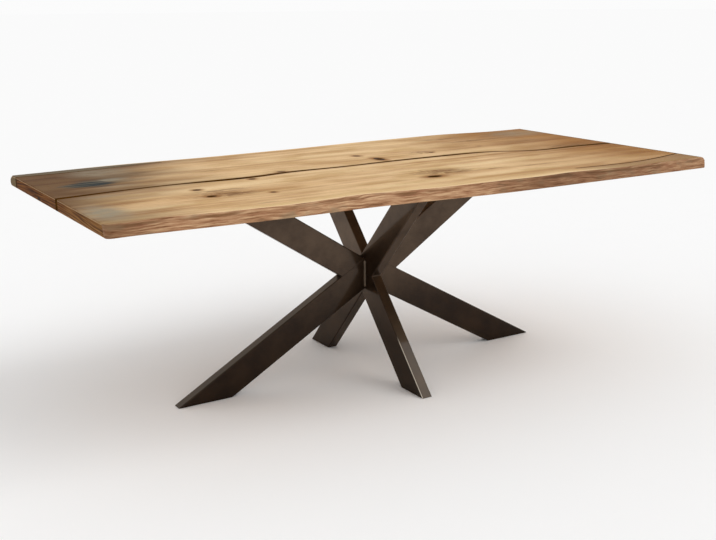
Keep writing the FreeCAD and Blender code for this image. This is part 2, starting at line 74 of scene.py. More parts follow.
# The pedestal, where its tubes meet
tube_low, tube_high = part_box("front_leg")
half_tube = tube_high.x
hub_height = tube_high.z
setback = tube_high.y
tube_width = 0.100
leg_run = 0.640
arm_run = 0.5405
cross_leg_run = 0.324
cross_arm_run = 0.3205
weld_leg = 0.006
seam_half_width = 0.0022
seam_height = 0.0006
bead_pitch = 0.0024
bead_step = 0.0006

# Camera of the photograph: place in metres, turns in degrees, lens and sensor in millimetres
camera_place = (-1.97878, -3.14432, 1.34891)
camera_yaw = 31.569
camera_pitch = 14.688
camera_roll = -0.4834
camera_lens = 52.81
camera_sensor = 36

# Lengths of waves, and how far lines of grain and of tint wander
rag_lengths = (0.012, 0.12)
ripple_length = 0.025
ripple_drift = 0.012
ripple_drift_spread = 0.03
grain_wander = 0.05
tint_wander = 0.7
rib_wander = 0.022
ring_wander = 0.012
sawn_wander = 0.5

# Depths of the finest relief
top_relief = 0.0004
bark_relief = 0.0024
sawn_relief = 0.0005
planed_relief = 0.0005
resin_relief = 0.0002
coat_relief = 0.0003
zinc_relief = 0.0001
plastic_relief = 0.0002

# Where a tint sets in and where it is full: places along or across the table, or distances from an edge
left_brown = (-0.54, -1.16)
right_brown = (0.35, 1.10)
bark_turn = (-0.2, 0.2)
sap_depth = (0.085, 0.02)
sap_front = (0.1, -0.1)
sap_left = (-0.9, -0.4)
sap_right = (0.75, 0.3)
joint_rim = (0.012, 0.001)
split_rim = (0.009, 0.003)
sawn_split_rim = (0.014, 0.006)
right_end_rim = (0.018, 0.006)
crest_depth = (0.014, 0.006)
crest_left = (-1.0, -0.7)
crest_right = (0.75, 0.45)
groove_foot = (0.014, 0.009)
groove_head = (0.003, 0.006)
bark_left = (-0.9, -1.1)
bark_right = (0.08, 0.33)
bark_far_right = (1.4, 0.3)
sawn_brown = (-0.10, 0.45)
notch_sides = (0.020, 0.012)
notch_top = (0.016, 0.011)
notch_end = (0.1, -0.1)

# The middle of the notch in the left end, and the edge of the front leg that gets a painted highlight
notch_across = 0.185
edge_highlight_width = 0.0018
edge_highlight_height = 0.185
edge_highlight_fade = 0.03

# A height so great that marks on the top run straight down
far = 1000.0

# Live edge of the front board: along, crest and foot, as shares of half the length and half the width
front_edge_shares = [
    (-1.0, 0.829, 0.851), (-0.93, 0.829, 0.847), (-0.85, 0.818, 0.856), (-0.74, 0.849, 0.872),
    (-0.61, 0.873, 0.889), (-0.54, 0.884, 0.894), (-0.4, 0.871, 0.899), (-0.29, 0.849, 0.899),
    (-0.14, 0.891, 0.919), (0.0, 0.92, 0.945), (0.19, 0.935, 0.974), (0.32, 0.949, 0.98),
    (0.42, 0.938, 0.983), (0.55, 0.965, 0.987), (0.7, 0.984, 0.992), (0.8, 0.98, 0.995),
    (1.0, 0.988, 0.998),
]
# Live edge of the back board: along, crest, and how far its waist and its foot stand out beyond the
# crest as shares of back_swell
back_edge_shares = [
    (-1.0, 0.93, 1.6, 1.5), (-0.86, 0.946, 0.9, -0.5), (-0.7, 0.966, 0.7, -0.5), (-0.54, 0.962, 0.8, -0.5),
    (-0.37, 0.946, 0.9, -0.5), (-0.19, 0.95, 0.9, -0.5), (0.0, 0.958, 0.8, -0.5), (0.2, 0.982, 0.4, -0.5),
    (0.42, 0.99, 0.3, -0.5), (0.54, 0.992, 0.2, -0.5), (0.65, 0.982, 0.3, -0.5), (0.8, 0.928, 0.9, -0.5),
    (1.0, 0.911, 1.0, -0.5),
]
# The joint: along, across, and its width as a share of joint_width
joint_shares = [
    (-1.0, -0.018, 1.1), (-0.93, 0.0, 1.0), (-0.8, 0.031, 0.7), (-0.62, 0.043, 0.7),
    (-0.49, 0.025, 1.3), (-0.37, 0.031, 1.1), (-0.29, 0.056, 1.0), (-0.12, 0.054, 0.7),
    (0.12, 0.069, 0.8), (0.32, 0.067, 1.0), (0.45, 0.054, 0.8), (0.53, 0.014, 0.5),
    (0.62, -0.071, 0.5), (0.8, -0.098, 0.9), (1.0, -0.124, 1.0),
]
# The two splits: along, across, and their width as a share of crack_width
front_crack_shares = [
    (0.5, -0.838, 0.2), (0.6, -0.853, 0.5), (0.7, -0.861, 0.7), (0.8, -0.846, 0.8),
    (0.9, -0.805, 0.9), (1.0, -0.755, 1.0),
]
back_crack_shares = [
    (-1.0, 0.837, 1.0), (-0.88, 0.832, 0.9), (-0.76, 0.85, 0.8), (-0.62, 0.88, 0.5),
    (-0.52, 0.905, 0.2),
]
# Filled knots: along, across, then length and breadth as shares of knot_width
knot_shares = [(0.102, 0.191, 0.9, 0.8), (0.053, -0.584, 1.8, 0.9), (-0.633, -0.425, 1.1, 0.7)]


# Smooth lines and meshes

def smooth_line(places, values):
    """A smooth curve through values at rising places, as a function of a place."""
    places, values = np.array(places), np.array(values)
    gaps = np.diff(places)
    slopes = np.diff(values) / gaps
    system = np.eye(len(places))
    target = np.zeros(len(places))
    for row in range(1, len(places) - 1):
        system[row, row - 1:row + 2] = gaps[row - 1], 2 * (gaps[row - 1] + gaps[row]), gaps[row]
        target[row] = 6 * (slopes[row] - slopes[row - 1])
    bends = np.linalg.solve(system, target)

    def at(place):
        span = np.clip(np.searchsorted(places, place) - 1, 0, len(gaps) - 1)
        gap = gaps[span]
        after = place - places[span]
        before = places[span + 1] - place
        curve = (bends[span] * before ** 3 + bends[span + 1] * after ** 3) / (6 * gap)
        start = (values[span] / gap - bends[span] * gap / 6) * before
        end = (values[span + 1] / gap - bends[span + 1] * gap / 6) * after
        return curve + start + end

    return at


def column(rows, number, scale):
    """Smooth line through one column of a table of shares, along the table in metres."""
    return smooth_line([row[0] * half_length for row in rows], [row[number] * scale for row in rows])


def wavy(seed, count, shortest, longest):
    """A level line that wanders by up to 1, the same in each run, as a function of the place."""
    chance = np.random.default_rng(seed)
    lengths = shortest * (longest / shortest) ** chance.random(count)
    phases = chance.random(count) * math.tau
    weights = lengths ** 0.5
    weights /= weights.sum()

    def at(place):
        return sum(weight * np.sin(math.tau * place / length + phase)
                   for weight, length, phase in zip(weights, lengths, phases))

    return at


def new_object(name, vertices, faces, materials, face_materials=None, sharp_angle=math.radians(32)):
    """A mesh object that is smooth apart from its sharp edges."""
    mesh = bpy.data.meshes.new(name)
    mesh.from_pydata([tuple(map(float, point)) for point in vertices], [], faces)
    for material in materials:
        mesh.materials.append(material)
    if face_materials is not None:
        mesh.polygons.foreach_set("material_index", face_materials)
    mesh.polygons.foreach_set("use_smooth", [True] * len(mesh.polygons))
    mesh.set_sharp_from_angle(angle=sharp_angle)
    mesh.update()
    item = bpy.data.objects.new(name, mesh)
    bpy.context.scene.collection.objects.link(item)
    return item


def rounding(distance, radius):
    """How far a rounded edge falls back at a distance from its end."""
    left = np.clip(radius - distance, 0, radius)
    return radius - np.sqrt(radius ** 2 - left ** 2)


def end_rounding(x):
    """How far every face falls back beside a sawn end."""
    return np.minimum(rounding(x + half_length, end_ease) + rounding(half_length - x, end_ease), end_ease)


# The boards

joint_across = column(joint_shares, 1, half_width)
joint_breadth = column(joint_shares, 2, joint_width)
joint_rags = {-1: wavy(11, 14, *rag_lengths), 1: wavy(12, 14, *rag_lengths)}
front_crest = column(front_edge_shares, 1, half_width)
front_foot = column(front_edge_shares, 2, half_width)
back_crest = column(back_edge_shares, 1, half_width)
back_waist = column(back_edge_shares, 2, back_swell)
back_foot = column(back_edge_shares, 3, back_swell)


def joint_side(x, side):
    """Where the joint's resin ends on one side."""
    half = np.maximum(joint_breadth(x) / 2 - ragged_edge / 2, joint_width / 8)
    return joint_across(x) + side * (half + ragged_edge / 2 * joint_rags[side](x))


def front_rim(x, level):
    """Outward reach of the front live edge, level 0 at the underside and 1 at the top."""
    return front_foot(x) + (front_crest(x) - front_foot(x)) * level + front_swell * np.sin(math.pi * level)


def back_rim(x, level):
    """Outward reach of the back live edge, in the same terms."""
    return back_crest(x) + back_waist(x) * np.sin(math.pi * level) + back_foot(x) * (1 - level) ** 2


def split_lines(rows, side, rim, x):
    """Outward reach of a split's middle and its half width along the whole board.

    Where the board isn't split, the middle runs on at a steady distance from the live edge.
    """
    first, last = rows[0][0] * half_length, rows[-1][0] * half_length
    inside = (x >= first) & (x <= last)
    held = np.clip(x, first, last)
    line = column(rows, 1, half_width)
    start = first if side < 0 else last
    margin = rim(start, 1) - side * line(start)
    middle = np.where(inside, side * line(held), rim(x, 1) - margin)
    half = np.where(inside, column(rows, 2, crack_width)(held) / 2, 0)
    return middle, np.maximum(half, 0)


def stations():
    """Places along the boards: evenly spaced, closer together at the sawn ends."""
    count = round(2 * (half_length - left_corner_round) / station_pitch)
    run = np.linspace(-half_length + left_corner_round, half_length - left_corner_round, count + 1)
    near_shares = np.array([0, 0.02, 0.06, 0.125, 0.25, 0.45, 0.7])
    near = half_length - left_corner_round * near_shares
    return np.concatenate([-near, run, near[::-1]])


def rim_ripples(x, depth, seed):
    """How far the bark side falls back from its outer skin, between 0 and 1."""
    chance = np.random.default_rng(seed)
    total = np.zeros(np.broadcast(x, depth).shape)
    weight_sum = 0
    for _ in range(26):
        length = ripple_length * 9 ** chance.random()
        drift = (ripple_drift + ripple_drift_spread * chance.random()) * chance.choice([-1, 1])
        phase = chance.random() * math.tau
        weight = length ** 0.6
        total = total + weight * np.sin(math.tau * (x / length + depth / drift) + phase)
        weight_sum += weight ** 2
    return np.clip(0.5 + 0.22 * total / math.sqrt(weight_sum / 2), 0, 1)


# Lines along a board on either side of its split, and round its live edge
inner_lines = 16
outer_lines = 6
rim_depth_shares = np.array([0.008, 0.025, 0.05, 0.09, 0.15, 0.21, 0.28, 0.35, 0.42, 0.49, 0.56, 0.63, 0.70,
                             0.77, 0.84, 0.90, 0.945, 0.972, 0.99])
# The faces of a board, in the order of its materials
top_kind, rim_kind, end_kind, under_kind, hidden_kind = range(5)


def board_ring(x, side, rim, middle, half, corner_rounds, seed):
    """The points round a board, as reaches and heights at all stations.

    They run across the top, down the live edge and back along the underside.
    """
    from_right = half_length - x
    ease = end_rounding(x)
    corner = rounding(x + half_length, corner_rounds[0]) + rounding(from_right, corner_rounds[1])
    worn = arris
    if side < 0:
        worn = arris + (crest_wear - arris) * np.clip(1 - from_right / wear_length, 0, 1) ** 2
    joint = side * joint_side(x, side)

    def lines(level, fall, height):
        """Points across the top, level 1, or the underside, level 0."""
        edge = rim(x, level) - fall - ease - corner
        inner = [joint + (middle - half - joint) * share for share in np.linspace(0, 1, inner_lines)]
        outer = [middle + half + (edge - middle - half) * share for share in np.linspace(0, 1, outer_lines)]
        return [(reach, height) for reach in inner + outer]

    rim_points = []
    for share in rim_depth_shares:
        depth = share * thickness
        fall = rounding(depth, worn) + rounding(thickness - depth, arris)
        waves = ripple * rim_ripples(x, depth, seed) * math.sin(math.pi * share) ** 0.5
        reach = rim(x, 1 - share) - fall - waves - ease - corner
        rim_points.append((reach, table_top - skin - ease - share * (thickness - skin - 2 * ease)))
    ring = lines(1, worn, table_top - skin - ease) + rim_points + lines(0, arris, underside + ease)[::-1]
    reaches = np.array([np.broadcast_to(reach, x.shape) for reach, height in ring])
    heights = np.array([np.broadcast_to(height, x.shape) for reach, height in ring])
    return reaches, heights


def board_faces(half, size, side):
    """The faces of a board and their kinds.

    half is the split's half width at each station, and size counts the points of a ring.
    """
    faces, kinds = [], []
    last = inner_lines + outer_lines - 1
    gaps = (inner_lines - 1, size - inner_lines - 1)
    spans = range(len(half) - 1)
    around = [top_kind] * last + [rim_kind] * (size - 2 * last - 1) + [under_kind] * last + [hidden_kind]

    def face(kind, outward, *corners):
        """Adds a face by the station and the number of each corner."""
        points = tuple(station * size + number % size for station, number in corners)
        faces.append(points if outward else points[::-1])
        kinds.append(kind)

    for number, kind in enumerate(around):
        if number not in gaps:
            for station in spans:
                face(kind, side < 0, (station, number), (station, number + 1), (station + 1, number + 1),
                     (station + 1, number))
    for station in spans:
        if half[station] > 0 or half[station + 1] > 0:
            for number, outward in ((gaps[0], side > 0), (gaps[0] + 1, side < 0)):
                under = size - 1 - number
                face(hidden_kind, outward, (station, number), (station + 1, number), (station + 1, under),
                     (station, under))
    for station, outward in ((0, side > 0), (len(half) - 1, side < 0)):
        for number in range(last):
            if number != gaps[0] or half[station] == 0:
                face(end_kind, outward, (station, number), (station, number + 1),
                     (station, size - 2 - number), (station, size - 1 - number))
        face(end_kind, outward, *[(station, number) for number in range(last, size - last)])
    return faces, kinds


def board(name, side, rim, cracks, corner_rounds, seed, materials):
    """One board: a ring of points at each station, with an open split and closed sawn ends.

    side is -1 for the front board and 1 for the back one, and a reach is measured that way from the middle.
    """
    x = stations()
    middle, half = split_lines(cracks, side, rim, x)
    reaches, heights = board_ring(x, side, rim, middle, half, corner_rounds, seed)
    size = len(reaches)
    vertices = np.stack([np.broadcast_to(x, reaches.shape), side * reaches, heights], axis=-1)
    faces, kinds = board_faces(half, size, side)
    item = new_object(name, vertices.transpose(1, 0, 2).reshape(-1, 3), faces, materials, kinds)

    beyond = np.zeros(reaches.shape)
    beyond[inner_lines:size - inner_lines] = np.clip(half / (crack_width / 4), 0, 1)
    paint_value(item, "from_edge", np.maximum(rim(x, 1) - reaches, 0))
    paint_value(item, "from_joint", reaches - side * joint_side(x, side))
    paint_value(item, "from_split", np.where(half > 0, abs(reaches - middle), half_width))
    paint_value(item, "beyond_split", beyond)
    return item


def paint_value(item, name, values):
    """Keeps a number at each point of the mesh for its material."""
    numbers = np.ascontiguousarray(values.T.reshape(-1))
    item.data.attributes.new(name, "FLOAT", "POINT").data.foreach_set("value", numbers)


def fill(name, x, low_shade, high, material):
    """Resin between two lines, a little dished, from the top to the underside."""
    shares = np.linspace(0, 1, 7)
    ease = end_rounding(x)
    ring = [(low_shade + (high - low_shade) * share, table_top - skin - ease - fill_dish * math.sin(math.pi * share))
            for share in shares]
    ring += [(low_shade + (high - low_shade) * share, underside + ease) for share in shares[::-1]]
    size = len(ring)
    vertices = [(x[station], across[station], height[station])
                for station in range(len(x)) for across, height in ring]
    faces = [(station * size + number, station * size + size + number,
              station * size + size + (number + 1) % size, station * size + (number + 1) % size)
             for station in range(len(x) - 1) for number in range(size)]
    faces.append(tuple(range(size)))
    faces.append(tuple(range((len(x) - 1) * size, len(x) * size))[::-1])
    return new_object(name, vertices, faces, [material])


def split_fill(name, rows, side, rim, material):
    """The resin of one split."""
    x = stations()
    middle, half = split_lines(rows, side, rim, x)
    open_part = half > 0
    x, middle, half = x[open_part], middle[open_part], half[open_part]
    sides = sorted((side * (middle - half), side * (middle + half)), key=lambda line: line[0])
    return fill(name, x, sides[0], sides[1], material)


def knot_plugs(material):
    """Resin in the open knots: uneven outlines, flush with the top."""
    points = 56
    vertices, faces = [], []
    for number, (along, across, length, breadth) in enumerate(knot_shares):
        wander = wavy(40 + number, 7, math.tau / 9, math.tau / 2)
        turns = np.arange(points) * math.tau / points
        swell = 1 - 0.16 * (0.5 + 0.5 * wander(turns) * np.sin(turns / 2) ** 2)
        x = along * half_length + swell * np.cos(turns) * length * knot_width / 2
        y = across * half_width + swell * np.sin(turns) * breadth * knot_width / 2
        start = len(vertices)
        for height in (table_top, table_top - knot_depth):
            vertices += [(x[turn], y[turn], height) for turn in range(points)]
        faces.append(tuple(range(start, start + points)))
        faces.append(tuple(range(start + 2 * points - 1, start + points - 1, -1)))
        faces += [(start + turn, start + points + turn, start + points + (turn + 1) % points,
                   start + (turn + 1) % points) for turn in range(points)]
    return new_object("knot_plugs", vertices, faces, [material])


# Welds

def bead(vertices, faces, start, end, first, second, bulge):
    """Adds a rippled weld bead from start to end.

    Its section runs from the offset first to the offset second and swells out by bulge.
    """
    start, end, first, second, bulge = map(Vector, (start, end, first, second, bulge))
    length = (end - start).length
    steps = max(round(length / bead_step), 4)
    shares = [number / 8 for number in range(9)]
    base = len(vertices)
    for step in range(steps + 1):
        along = step / steps
        place = start.lerp(end, along)
        from_tip = min(along, 1 - along) * length
        grow = math.sqrt(max(1 - max(1 - from_tip / weld_leg, 0) ** 2, 0))
        scale = grow * (0.90 + 0.10 * abs(math.sin(math.pi * along * length / bead_pitch)))
        for share in shares:
            offset = first.lerp(second, share) + bulge * math.sin(math.pi * share)
            vertices.append(place + offset * scale)
    size = len(shares)
    for step in range(steps):
        for number in range(size - 1):
            corner = base + step * size + number
            faces.append((corner, corner + 1, corner + size + 1, corner + size))


def hub_beads(material):
    """Beads in the four upright corners where the long frame meets the cross frame."""
    weld_low, weld_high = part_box("hub_welds")
    vertices, faces = [], []
    for side in (-1, 1):
        for face_side in (-1, 1):
            x = side * half_tube
            y = setback + face_side * half_tube
            out = Vector((side, 0, 0)) * weld_leg
            across = Vector((0, face_side, 0)) * weld_leg
            bead(vertices, faces, (x, y, weld_low.z), (x, y, weld_high.z), out, across, (out + across) / 6)
    return new_object("hub_beads", vertices, faces, [material], sharp_angle=math.pi)


def band_angle(rise, run):
    """Slope of a tube and half its width measured upright."""
    angle = math.atan2(rise, run)
    return math.tan(angle), tube_width / 2 / math.cos(angle)


def crossing(run_down, run_up):
    """Where a leg and an arm meet: slope and upright half width of each, and how far out their waist is."""
    plate_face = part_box("front_top_plate")[0].z
    leg_slope, leg_half = band_angle(hub_height - tube_low.z, run_down)
    arm_slope, arm_half = band_angle(plate_face - hub_height, run_up)
    return leg_slope, leg_half, arm_slope, arm_half, (leg_half + arm_half) / (leg_slope + arm_slope)


def long_seams(vertices, faces):
    """Seams of the frame along the table: on its legs' upper edges, from the waists to the cross frame."""
    leg_slope, leg_half, arm_slope, arm_half, waist = crossing(leg_run, arm_run)
    reach = half_tube - (leg_half - arm_half) / (leg_slope + arm_slope)
    waist_height = hub_height + leg_half - leg_slope * waist
    hub_top = hub_height + leg_half + leg_slope * (reach - half_tube)
    for side in (-1, 1):
        for face_side in (-1, 1):
            y = setback + face_side * half_tube
            start = Vector((side * (reach + waist), y, waist_height))
            end = Vector((side * half_tube, y, hub_top))
            along = (end - start).normalized()
            out = Vector((0, face_side, 0))
            across = along.cross(out) * seam_half_width
            bead(vertices, faces, start, end, -across, across, out * seam_height)


def cross_seams(vertices, faces):
    """Seams of the frame across the table: level lines on its broad faces and in its two waists."""
    waist = crossing(cross_leg_run, cross_arm_run)[-1]
    up = Vector((0, 0, seam_half_width))
    for side in (-1, 1):
        waist_place = setback + side * waist
        for face_side in (-1, 1):
            x = face_side * half_tube
            start = (x, waist_place, hub_height)
            end = (x, setback + side * half_tube, hub_height)
            bead(vertices, faces, start, end, -up, up, Vector((face_side, 0, 0)) * seam_height)
        out = Vector((0, side, 0))
        first = (-half_tube, waist_place, hub_height)
        second = (half_tube, waist_place, hub_height)
        bead(vertices, faces, first, second, -up + out * seam_half_width, up + out * seam_half_width,
             out * seam_height)


def seams(material):
    """Ground weld lines where an arm lands on a leg."""
    vertices, faces = [], []
    long_seams(vertices, faces)
    cross_seams(vertices, faces)
    return new_object("ground_seams", vertices, faces, [material], sharp_angle=math.pi)


# Materials

class Paint:
    """A new material, with short calls for the nodes used here. Its colour is laid on in layers."""

    def __init__(self, name):
        self.material = bpy.data.materials.new(name)
        self.material.use_nodes = True
        self.tree = self.material.node_tree
        self.shader = self.tree.nodes["Principled BSDF"]
        self.place = self.add("ShaderNodeTexCoord").outputs["Object"]
        self.colour = None

    def add(self, kind, inputs=(), **settings):
        """A new node, with its inputs and settings."""
        node = self.tree.nodes.new(kind)
        for key, value in settings.items():
            setattr(node, key, value)
        for key, value in dict(inputs).items():
            self.put(node.inputs[key], value)
        return node

    def put(self, socket, value):
        """Links an output to a socket, or sets a plain value."""
        if isinstance(value, bpy.types.NodeSocket):
            self.tree.links.new(value, socket)
        else:
            socket.default_value = value

    def set(self, **values):
        """Sets or links inputs of the shader, by name with underscores for blanks."""
        for key, value in values.items():
            self.put(self.shader.inputs[key.replace("_", " ")], value)

    def calc(self, operation, first, second=0.0, third=0.0):
        """A sum or another operation on numbers."""
        node = self.add("ShaderNodeMath", operation=operation)
        for socket, value in zip(node.inputs, (first, second, third)):
            self.put(socket, value)
        return node.outputs[0]

    def times(self, first, *others):
        """The product of some numbers."""
        for other in others:
            first = self.calc("MULTIPLY", first, other)
        return first

    def axes(self, place):
        return self.add("ShaderNodeSeparateXYZ", {"Vector": place}).outputs

    def join(self, x, y, z):
        return self.add("ShaderNodeCombineXYZ", {"X": x, "Y": y, "Z": z}).outputs[0]

    def noise(self, scales, place=None, detail=2.0, roughness=0.5):
        """Noise with a scale along each axis, over the object or at another place."""
        if place is None:
            place = self.place
        stretched = self.add("ShaderNodeVectorMath", {0: place, 1: scales}, operation="MULTIPLY").outputs[0]
        inputs = {"Vector": stretched, "Scale": 1.0, "Detail": detail, "Roughness": roughness}
        return self.add("ShaderNodeTexNoise", inputs).outputs[0]

    def fade(self, value, start, end):
        """0 before start and 1 after end, smooth between; the other way round if end is the lower."""
        inputs = {"Value": value, "From Min": min(start, end), "From Max": max(start, end),
                  "To Min": float(start > end), "To Max": float(start < end)}
        return self.add("ShaderNodeMapRange", inputs, interpolation_type="SMOOTHSTEP").outputs[0]

    def mix(self, share, first, second, blend="MIX"):
        """The first colour, with a share of the second one over it."""
        inputs = {0: share, 6: first, 7: second}
        return self.add("ShaderNodeMix", inputs, data_type="RGBA", blend_type=blend).outputs[2]

    def layer(self, colour, cover, strength=1.0, blend="MIX"):
        """Lays a colour over part of the surface."""
        self.colour = self.mix(self.times(cover, strength), self.colour, colour, blend)

    def ramp(self, value, stops):
        """A colour by a number, from the colours at some of its values."""
        node = self.add("ShaderNodeValToRGB", {"Fac": value})
        elements = node.color_ramp.elements
        while len(elements) < len(stops):
            elements.new(0.5)
        for element, (place, colour) in zip(elements, stops):
            element.position = place
            element.color = colour
        return node.outputs[0]

    def local(self, along, across, length, breadth, turn):
        """Place measured from a spot on the top, where an ellipse of that length and breadth has radius 1."""
        inputs = {"Vector": self.place, "Location": (along, across, 0),
                  "Rotation": (0, 0, math.radians(turn)), "Scale": (length / 2, breadth / 2, far)}
        return self.add("ShaderNodeMapping", inputs, vector_type="TEXTURE").outputs[0]

    def ellipse(self, *sizes):
        """Distance from a spot on the top, 1 on its ellipse."""
        return self.add("ShaderNodeVectorMath", {0: self.local(*sizes)}, operation="LENGTH").outputs["Value"]

    def flames(self, *sizes):
        """Broken arcs round a spot, strongest near it."""
        ring = self.ellipse(*sizes)
        wander = self.noise((1.3, 1.3, 1.3), self.local(*sizes))
        bent = self.calc("MULTIPLY_ADD", wander, 7.0, self.times(ring, 3.0))
        arcs = self.noise((1.0, 1.0, 1.0), self.join(bent, 0.0, 0.0), roughness=0.6)
        return self.times(self.fade(arcs, 0.42, 0.56), self.fade(ring, 1.1, 0.15))

    def value(self, name):
        """A number kept at the points of the mesh."""
        return self.add("ShaderNodeAttribute", attribute_name=name).outputs["Fac"]

    def surface(self, roughness, relief, strength, depth, **more):
        """The material, with its colour, its bumps and other inputs linked or set.

        Roughness is a number, its factor and what is added.
        """
        inputs = {"Height": relief, "Strength": strength, "Distance": depth}
        bumps = self.add("ShaderNodeBump", inputs).outputs[0]
        rough = self.calc("MULTIPLY_ADD", *roughness)
        self.set(Base_Color=self.colour, Roughness=rough, Normal=bumps, **more)
        return self.material


def srgb(red, green, blue):
    """A colour by its screen values from 0 to 255."""
    parts = [value / 255 for value in (red, green, blue)]
    linear = [part / 12.92 if part <= 0.04045 else ((part + 0.055) / 1.055) ** 2.4 for part in parts]
    return (*linear, 1.0)


# Knots that show in the figure: along and across as shares of half the length and half the width, length and
# breadth as shares of knot_width, turn in degrees, and darkness of the heart as a share
figure_shares = [
    (0.102, 0.191, 1.0, 1.8, 0, 1.0), (0.053, -0.584, 1.7, 1.0, 0, 1.0),
    (0.075, 0.395, 0.8, 1.0, 0, 0.7), (0.33, 0.245, 0.5, 0.6, 10, 0.85),
    (-0.63, -0.198, 0.8, 0.7, 0, 0.95), (-0.633, -0.425, 1.0, 0.8, 0, 1.0),
    (-0.419, -0.042, 0.7, 0.6, 0, 1.0), (-0.465, -0.5, 0.6, 0.6, 0, 0.8),
    (-0.286, 0.104, 1.0, 0.8, 0, 0.6), (0.56, 0.3, 0.7, 0.5, 0, 0.4),
]
# Smoky patches: along and across as above, length and breadth as shares of half the length, turn in
# degrees, and strength as a share
patch_shares = [
    (0.12, -0.45, 0.22, 0.07, 0, 0.8), (0.168, -0.52, 0.13, 0.03, 0, 1.0),
    (0.26, -0.545, 0.2, 0.016, 0, 0.8), (-0.57, -0.42, 0.22, 0.065, -6, 1.0),
    (-0.59, -0.29, 0.26, 0.065, 0, 0.85), (-0.451, 0.395, 0.12, 0.022, 8, 0.5),
    (-0.716, 0.5, 0.16, 0.03, 4, 0.4), (-0.547, -0.75, 0.08, 0.022, 0, 0.45),
    (0.33, 0.3, 0.12, 0.05, 0, 0.3), (-0.72, 0.4, 0.12, 0.026, 8, 0.55),
    (-0.66, 0.56, 0.16, 0.026, 4, 0.55), (0.86, -0.04, 0.34, 0.08, -3, 0.9),
    (0.64, 0.565, 0.36, 0.04, 0, 0.95), (0.56, 0.75, 0.34, 0.04, 0, 0.85),
    (0.78, 0.33, 0.24, 0.05, 0, 0.7), (0.48, -0.58, 0.22, 0.03, 0, 0.6),
]
# Figure that flares out beside knots, in the same terms
flame_shares = [
    (0.125, -0.455, 0.26, 0.13, -12, 0.95), (-0.59, -0.4, 0.22, 0.11, 0, 0.85),
    (0.305, 0.28, 0.14, 0.1, 0, 0.7),
]
# The blue-black stain, in the same terms
stain_shares = [
    (-0.862, 0.322, 0.17, 0.085, -3, 1.0), (-0.895, 0.345, 0.12, 0.04, -4, 0.9),
    (-0.838, 0.365, 0.1, 0.12, 25, 1.0), (-0.745, 0.5, 0.26, 0.08, 22, 0.22),
    (-0.745, 0.34, 0.2, 0.05, 0, 0.35),
]
# Grey veils over the top, in the same terms
veil_shares = [
    (-0.765, 0.72, 0.26, 0.23, 0, 0.65), (-0.95, -0.54, 0.15, 0.28, 0, 0.95),
    (-0.775, 0.415, 0.15, 0.08, 12, 1.0), (-0.89, -0.09, 0.2, 0.05, 0, 0.45),
    (-0.79, 0.18, 0.16, 0.06, 0, 0.4), (0.89, 0.7, 0.34, 0.2, 0, 0.6),
]


def spot(row):
    """A row of such a table as real sizes: place, length, breadth and turn."""
    along, across, length, breadth, turn, _ = row
    return along * half_length, across * half_width, length * half_length, breadth * half_length, turn


def grain_field(paint):
    """The place as the grain sees it, where lines wander and part round each knot, and the knots."""
    x, y, z = paint.axes(paint.place)
    across = paint.calc("MULTIPLY_ADD", paint.noise((1.4, 2.6, 2.6), detail=1.0), grain_wander, y)
    knots = []
    for along, side, length, breadth, turn, dark in figure_shares:
        centre = side * half_width
        ring = paint.ellipse(along * half_length, centre, length * knot_width, breadth * knot_width, turn)
        pull = paint.times(paint.calc("SUBTRACT", y, centre), paint.fade(ring, 5.0, 0.4))
        across = paint.calc("MULTIPLY_ADD", pull, -0.55, across)
        knots.append((ring, dark))
    return paint.join(x, across, z), knots


def grain_tone(paint, place):
    """Three scales of grain from 0 to 1: bands, fibres and pores."""
    bands = paint.noise((0.6, 11.0, 9.0), place, roughness=0.55)
    fibres = paint.noise((2.4, 160.0, 120.0), place, detail=4.0, roughness=0.6)
    pores = paint.noise((45.0, 1100.0, 900.0), place, detail=1.0)
    return bands, fibres, paint.fade(pores, 0.60, 0.74)


def growth_lines(paint, place):
    """Growth lines as a flat-sawn board shows them, from 0 in early wood to 1 in the dark late wood."""
    bow = paint.noise((0.9, 3.6, 0.0), place, roughness=0.45)
    count = paint.calc("MULTIPLY_ADD", bow, 9.0, paint.times(paint.axes(place)[1], 55.0))
    part = paint.calc("FRACT", count)
    return paint.times(paint.fade(part, 0.10, 0.85), paint.fade(part, 1.0, 0.90))


def plain_grain(paint, place, bands, fibres):
    """Pale tan wood with streaks and growth lines, cloudy in places."""
    paint.colour = paint.ramp(bands, [(0.34, srgb(196, 160, 114)), (0.45, srgb(210, 176, 132)),
                                      (0.55, srgb(220, 188, 144)), (0.66, srgb(231, 202, 158))])
    lines = paint.mix(paint.fade(fibres, 0.35, 0.65), srgb(120, 84, 52), srgb(255, 240, 215))
    paint.layer(lines, 0.16, blend="OVERLAY")
    streaks = paint.noise((0.8, 34.0, 0.0), place, roughness=0.6)
    paint.layer(srgb(208, 174, 134), paint.fade(streaks, 0.50, 0.64), 0.26, "MULTIPLY")
    paint.layer(srgb(236, 206, 160), paint.fade(streaks, 0.48, 0.36), 0.24)
    paint.layer(srgb(204, 168, 124), growth_lines(paint, place), 0.20, "MULTIPLY")
    cloud = paint.noise((4.5, 13.0, 1.0), roughness=0.55)
    paint.layer(srgb(222, 208, 178), paint.fade(cloud, 0.46, 0.66), 0.55, "MULTIPLY")
    paint.layer(srgb(236, 200, 150), paint.fade(cloud, 0.50, 0.32), 0.40)


